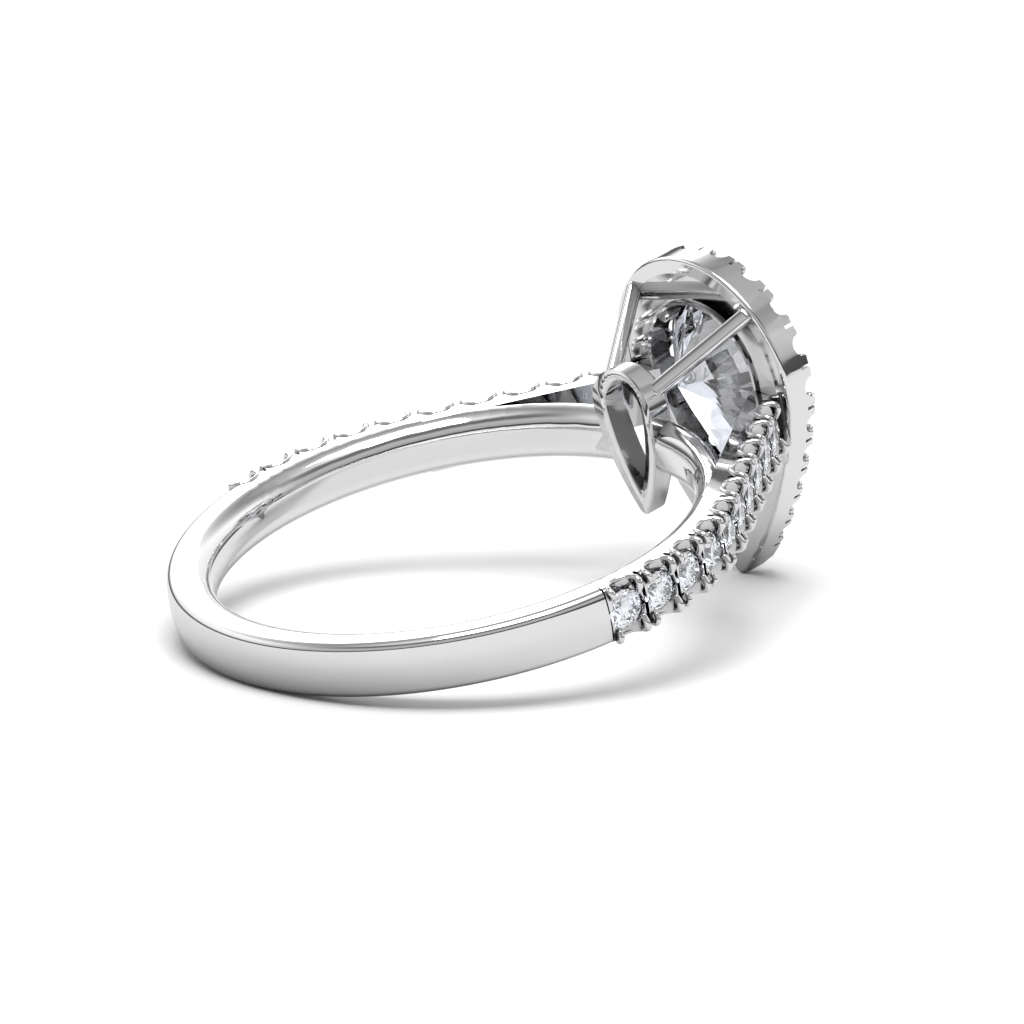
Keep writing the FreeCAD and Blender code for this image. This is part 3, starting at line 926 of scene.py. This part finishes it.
@dataclass
class Stones:
    """All the stones, cut as brilliants in place of the plain CAD ones."""

    halo_count: int = 21
    halo_radius: float = 0.54
    halo_inset: float = 0.73
    halo_girdle_x: float = 12.64
    row_radius: float = 0.65
    row_sink: float = 0.20
    centre_inset: float = 1.55
    centre_girdle_x: float = 12.89
    centre_size: float = 2.65
    round_cut: Cut = Cut()
    pear_cut: Cut = Cut(table=0.58, crown=0.302, girdle=0.03, pavilion=0.868, star=0.77, lower=0.25, steps=4)

    def build(
        self, shoulders: Shoulders, diamond: bpy.types.Material, centre: bpy.types.Material
    ) -> list[bpy.types.Object]:
        """Builds and dresses every stone.

        Args:
            shoulders: the shoulders, for their rows.
            diamond: the small stones' material.
            centre: the large stone's material, the diamond with its colour dimmed as painted shade.
        Returns:
            The pieces.
        """
        pieces = {"center_stone": self.centre(), "halo_stones": self.halo()}
        pieces["shoulder_stones_left"] = self.shoulder(shoulders, Side.LEFT)
        pieces["shoulder_stones_right"] = self.shoulder(shoulders, Side.RIGHT)
        for node, piece in pieces.items():
            piece.data.materials.append(centre if node == "center_stone" else diamond)
            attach(piece, "root")
            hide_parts(node)
        return list(pieces.values())

    def centre(self) -> bpy.types.Object:
        """The pear brilliant.

        Returns:
            The piece.
        """
        middle = np.array([0.0, HALO.head_height])

        def girdle(share: Array) -> Array:
            """The pear's outline round its middle.

            Args:
                share: shares of the way round.
            Returns:
                Rows of y and z.
            """
            return HALO.place(self.centre_inset, share)[0] - middle

        local, faces = self.pear_cut.build(girdle, self.centre_size)
        points = np.column_stack([self.centre_girdle_x + local[:, 2], local[:, 0], local[:, 1] + middle[1]])
        stone = new_object("center_brilliant", REST.points(points), faces, True)
        facets = [facet.normal for facet in stone.data.polygons for _ in facet.vertices]
        stone.data.normals_split_custom_set(facets)
        return stone

    def halo(self) -> bpy.types.Object:
        """The row of small brilliants round the centre stone.

        Returns:
            The piece.
        """
        flat, out = HALO.place(self.halo_inset, np.arange(self.halo_count) / self.halo_count)
        centres = np.column_stack([np.full(len(flat), self.halo_girdle_x), flat])
        axes = np.tile(HEADWARD, (len(flat), 1))
        sides = np.column_stack([np.zeros(len(flat)), out])
        points, faces = set_stones(self.round_cut, self.halo_radius, centres, axes, sides)
        return new_object("halo_brilliants", REST.points(points), faces, False)

    def shoulder(self, shoulders: Shoulders, side: Side) -> bpy.types.Object:
        """A shoulder's row of small brilliants.

        Args:
            shoulders: where the row runs.
            side: the shoulder.
        Returns:
            The stones as one piece.
        """
        points, out, run = shoulders.row((np.arange(shoulders.stones) + 0.5) * shoulders.pitch, side)
        points, faces = set_stones(self.round_cut, self.row_radius, points - out * self.row_sink, out, run)
        return new_object("shoulder_brilliants_" + side.name.lower(), REST.points(points), faces, False)


@dataclass
class Studio:
    """Plain pale floor, soft light and the camera at the photograph's angle."""

    azimuth_deg: float = -127.4668
    elevation_deg: float = 23.0067
    roll_deg: float = -11.7855
    offset: Pair = (-1.86756, -1.01437)
    distance: float = 253.32
    lens: float = 269.84
    front_side: Point = (-0.66, -0.75, 0.0)
    front_share: Pair = (-0.25, 0.45)
    behind: Stops = (
        (0.0, 0.10), (0.14, 0.16), (0.26, 0.95), (0.60, 1.15), (0.74, 0.55), (0.84, 0.30), (1.0, 0.6)
    )
    front: Stops = (
        (0.0, 0.05), (0.12, 0.08), (0.20, 0.42), (0.50, 0.55), (0.66, 0.14), (0.78, 0.22), (0.86, 1.0)
    )
    floor_half: float = 3.0
    floor_color: Rgb = (0.92, 0.92, 0.925)
    floor_reflected: float = 0.75
    stone_tint: Color = (0.68, 0.72, 0.78, 1.0)
    stone_fill: Color = (0.80, 0.83, 0.90, 1.0)
    sensor_width: float = 36.0
    clip: Pair = (0.01, 20.0)
    aim: Point = (0.0, 0.0, 0.005)
    softboxes: tuple[tuple[str, Point, Pair, float], ...] = (
        ("top_softbox", (-0.10, -0.10, 0.55), (0.35, 0.35), 2.3),
        ("back_softbox", (0.25, 0.45, 0.30), (0.40, 0.20), 0.5),
    )

    def camera(self) -> bpy.types.Object:
        """The camera, worked out in the upright ring's frame and laid down with it.

        Returns:
            The camera.
        """
        a, e, r = (math.radians(v) for v in (self.azimuth_deg, self.elevation_deg, self.roll_deg))
        back = np.array([math.cos(e) * math.cos(a), math.cos(e) * math.sin(a), math.sin(e)])
        right = np.cross(UP, back)
        right /= np.linalg.norm(right)
        up = np.cross(back, right)
        right, up = right * math.cos(r) + up * math.sin(r), up * math.cos(r) - right * math.sin(r)
        place = REST.points(back * self.distance - right * self.offset[0] - up * self.offset[1])
        axes = REST.turn() @ np.column_stack([right, up, back])
        lens = bpy.data.cameras.new("camera")
        lens.lens, lens.sensor_width = self.lens, self.sensor_width
        lens.clip_start, lens.clip_end = self.clip
        camera = bpy.data.objects.new("camera", lens)
        turn = Matrix([[float(v) for v in row] for row in axes]).to_4x4()
        camera.matrix_world = Matrix.Translation(Vector([float(v) for v in place])) @ turn
        bpy.context.scene.collection.objects.link(camera)
        bpy.context.scene.camera = camera
        return camera

    def floor(self) -> bpy.types.Object:
        """A wide pale floor under the ring.

        Returns:
            The floor.
        """
        half = self.floor_half
        corners = np.array([[-half, -half, 0.0], [half, -half, 0.0], [half, half, 0.0], [-half, half, 0.0]])
        floor = new_object("floor", corners, [[0, 1, 2, 3]], False)
        material = bpy.data.materials.new("pale_floor")
        material.use_nodes = True
        shader = material.node_tree.nodes["Principled BSDF"]
        shader.inputs["Roughness"].default_value = 0.9
        shader.inputs["Specular IOR Level"].default_value = 0.1
        nodes, link = material.node_tree.nodes, material.node_tree.links.new
        paths, tone = nodes.new("ShaderNodeLightPath"), nodes.new("ShaderNodeMix")
        tone.data_type = "RGBA"
        dim = tuple(value * self.floor_reflected for value in self.floor_color)
        tone.inputs[6].default_value = (*self.floor_color, 1.0)
        tone.inputs[7].default_value = (*dim, 1.0)
        link(paths.outputs["Is Glossy Ray"], tone.inputs[0])
        link(tone.outputs[2], shader.inputs["Base Color"])
        floor.data.materials.append(material)
        floor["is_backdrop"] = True
        return floor

    def softbox(self, name: str, place: Point, size: Pair, power: float) -> bpy.types.Object:
        """A rectangular soft light, aimed at the ring.

        Args:
            name: the light's name.
            place: where it stands, in metres.
            size: its width and height, in metres.
            power: its power in watts.
        Returns:
            The light.
        """
        data = bpy.data.lights.new(name, "AREA")
        data.shape, data.size, data.size_y, data.energy = "RECTANGLE", size[0], size[1], power
        light = bpy.data.objects.new(name, data)
        light.location = place
        light.rotation_mode = "QUATERNION"
        light.rotation_quaternion = (Vector(self.aim) - Vector(place)).to_track_quat("-Z", "Y")
        bpy.context.scene.collection.objects.link(light)
        return light

    def ramp(self, nodes: bpy.types.Nodes, stops: Stops) -> bpy.types.Node:
        """A grey ramp.

        Args:
            nodes: where it is added.
            stops: pairs of place and brightness.
        Returns:
            The ramp's node.
        """
        node = nodes.new("ShaderNodeValToRGB")
        elements = node.color_ramp.elements
        elements.remove(elements[1])
        elements[0].position, elements[0].color = stops[0][0], (stops[0][1],) * 3 + (1.0,)
        for place, value in stops[1:]:
            elements.new(place).color = (value, value, value, 1.0)
        return node

    def sky(self) -> None:
        """The studio's walls and ceiling, plain white to the camera.

        Brightness is a ramp over the height of the direction (0 at the horizon, 1 overhead): one ramp for
        the side behind the ring, one for the side that the camera stands on, mixed by the direction. What
        comes through a stone sees the same, tinted by stone_tint and lifted by stone_fill.
        """
        world = bpy.data.worlds.new("studio")
        bpy.context.scene.world = world
        world.use_nodes = True
        nodes, link = world.node_tree.nodes, world.node_tree.links.new
        nodes.clear()
        place, split = nodes.new("ShaderNodeTexCoord"), nodes.new("ShaderNodeSeparateXYZ")
        link(place.outputs["Generated"], split.inputs[0])
        behind, front = self.ramp(nodes, self.behind), self.ramp(nodes, self.front)
        link(split.outputs["Z"], behind.inputs[0])
        link(split.outputs["Z"], front.inputs[0])
        toward = nodes.new("ShaderNodeVectorMath")
        toward.operation = "DOT_PRODUCT"
        toward.inputs[1].default_value = self.front_side
        link(place.outputs["Generated"], toward.inputs[0])
        share = nodes.new("ShaderNodeMapRange")
        share.interpolation_type = "SMOOTHSTEP"
        share.inputs["From Min"].default_value = self.front_share[0]
        share.inputs["From Max"].default_value = self.front_share[1]
        link(toward.outputs["Value"], share.inputs["Value"])
        both = nodes.new("ShaderNodeMix")
        both.data_type = "RGBA"
        link(share.outputs[0], both.inputs[0])
        link(behind.outputs[0], both.inputs[6])
        link(front.outputs[0], both.inputs[7])
        tinted = self.toned(nodes, "MULTIPLY", self.stone_tint)
        lifted = self.toned(nodes, "ADD", self.stone_fill)
        link(both.outputs[2], tinted.inputs[6])
        link(tinted.outputs[2], lifted.inputs[6])
        paths = nodes.new("ShaderNodeLightPath")
        walls, lit, plain = (nodes.new("ShaderNodeBackground") for _ in range(3))
        link(both.outputs[2], walls.inputs["Color"])
        link(lifted.outputs[2], lit.inputs["Color"])
        plain.inputs["Color"].default_value = (1.0, 1.0, 1.0, 1.0)
        through, blend = nodes.new("ShaderNodeMixShader"), nodes.new("ShaderNodeMixShader")
        link(paths.outputs["Is Transmission Ray"], through.inputs[0])
        link(walls.outputs[0], through.inputs[1])
        link(lit.outputs[0], through.inputs[2])
        link(paths.outputs["Is Camera Ray"], blend.inputs[0])
        link(through.outputs[0], blend.inputs[1])
        link(plain.outputs[0], blend.inputs[2])
        link(blend.outputs[0], nodes.new("ShaderNodeOutputWorld").inputs[0])

    def toned(self, nodes: bpy.types.Nodes, kind: str, color: Color) -> bpy.types.Node:
        """A full mix of a colour into what is linked to it.

        Args:
            nodes: where it is added.
            kind: how it mixes.
            color: the colour.
        Returns:
            The mix's node.
        """
        mix = nodes.new("ShaderNodeMix")
        mix.data_type, mix.blend_type = "RGBA", kind
        mix.inputs[0].default_value = 1.0
        mix.inputs[7].default_value = color
        return mix

    def build(self) -> None:
        """Sets the stage, the light, the camera and the way colours are shown."""
        self.floor()
        self.sky()
        for name, place, size, power in self.softboxes:
            self.softbox(name, place, size, power)
        self.camera()
        scene = bpy.context.scene
        scene.view_settings.view_transform = "Standard"
        scene.cycles.use_denoising = True
        scene.cycles.max_bounces = 16
        scene.cycles.transmission_bounces = 14
        scene.cycles.glossy_bounces = 8
        scene.cycles.sample_clamp_indirect = 6.0


def corners() -> list[list[float]]:
    """The shown object's lowest and highest corner as plain lists.

    Returns:
        Both corners, in metres.
    """
    return [[float(v) for v in corner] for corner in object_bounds()]


def main() -> None:
    """Builds the ring's pieces, then the studio, and logs each piece's face count."""
    logging.basicConfig(level=logging.INFO)
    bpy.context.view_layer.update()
    group = surface_group()
    mount = Mount()
    pieces = mount.build(frame["nodes"], POLISHED_METAL.material(group))
    # The centre stone's material is a diamond dimmed with painted shade.
    diamond, centre = CLEAR_DIAMOND.material(group), DIMMED_CENTER_DIAMOND.material(group)
    pieces += Stones().build(mount.shoulders, diamond, centre)
    for piece in pieces:
        LOG.info("%s: %d faces", piece.name, len(piece.data.polygons))
    Studio().build()
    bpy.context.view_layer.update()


if __name__ == "__main__":
    main()
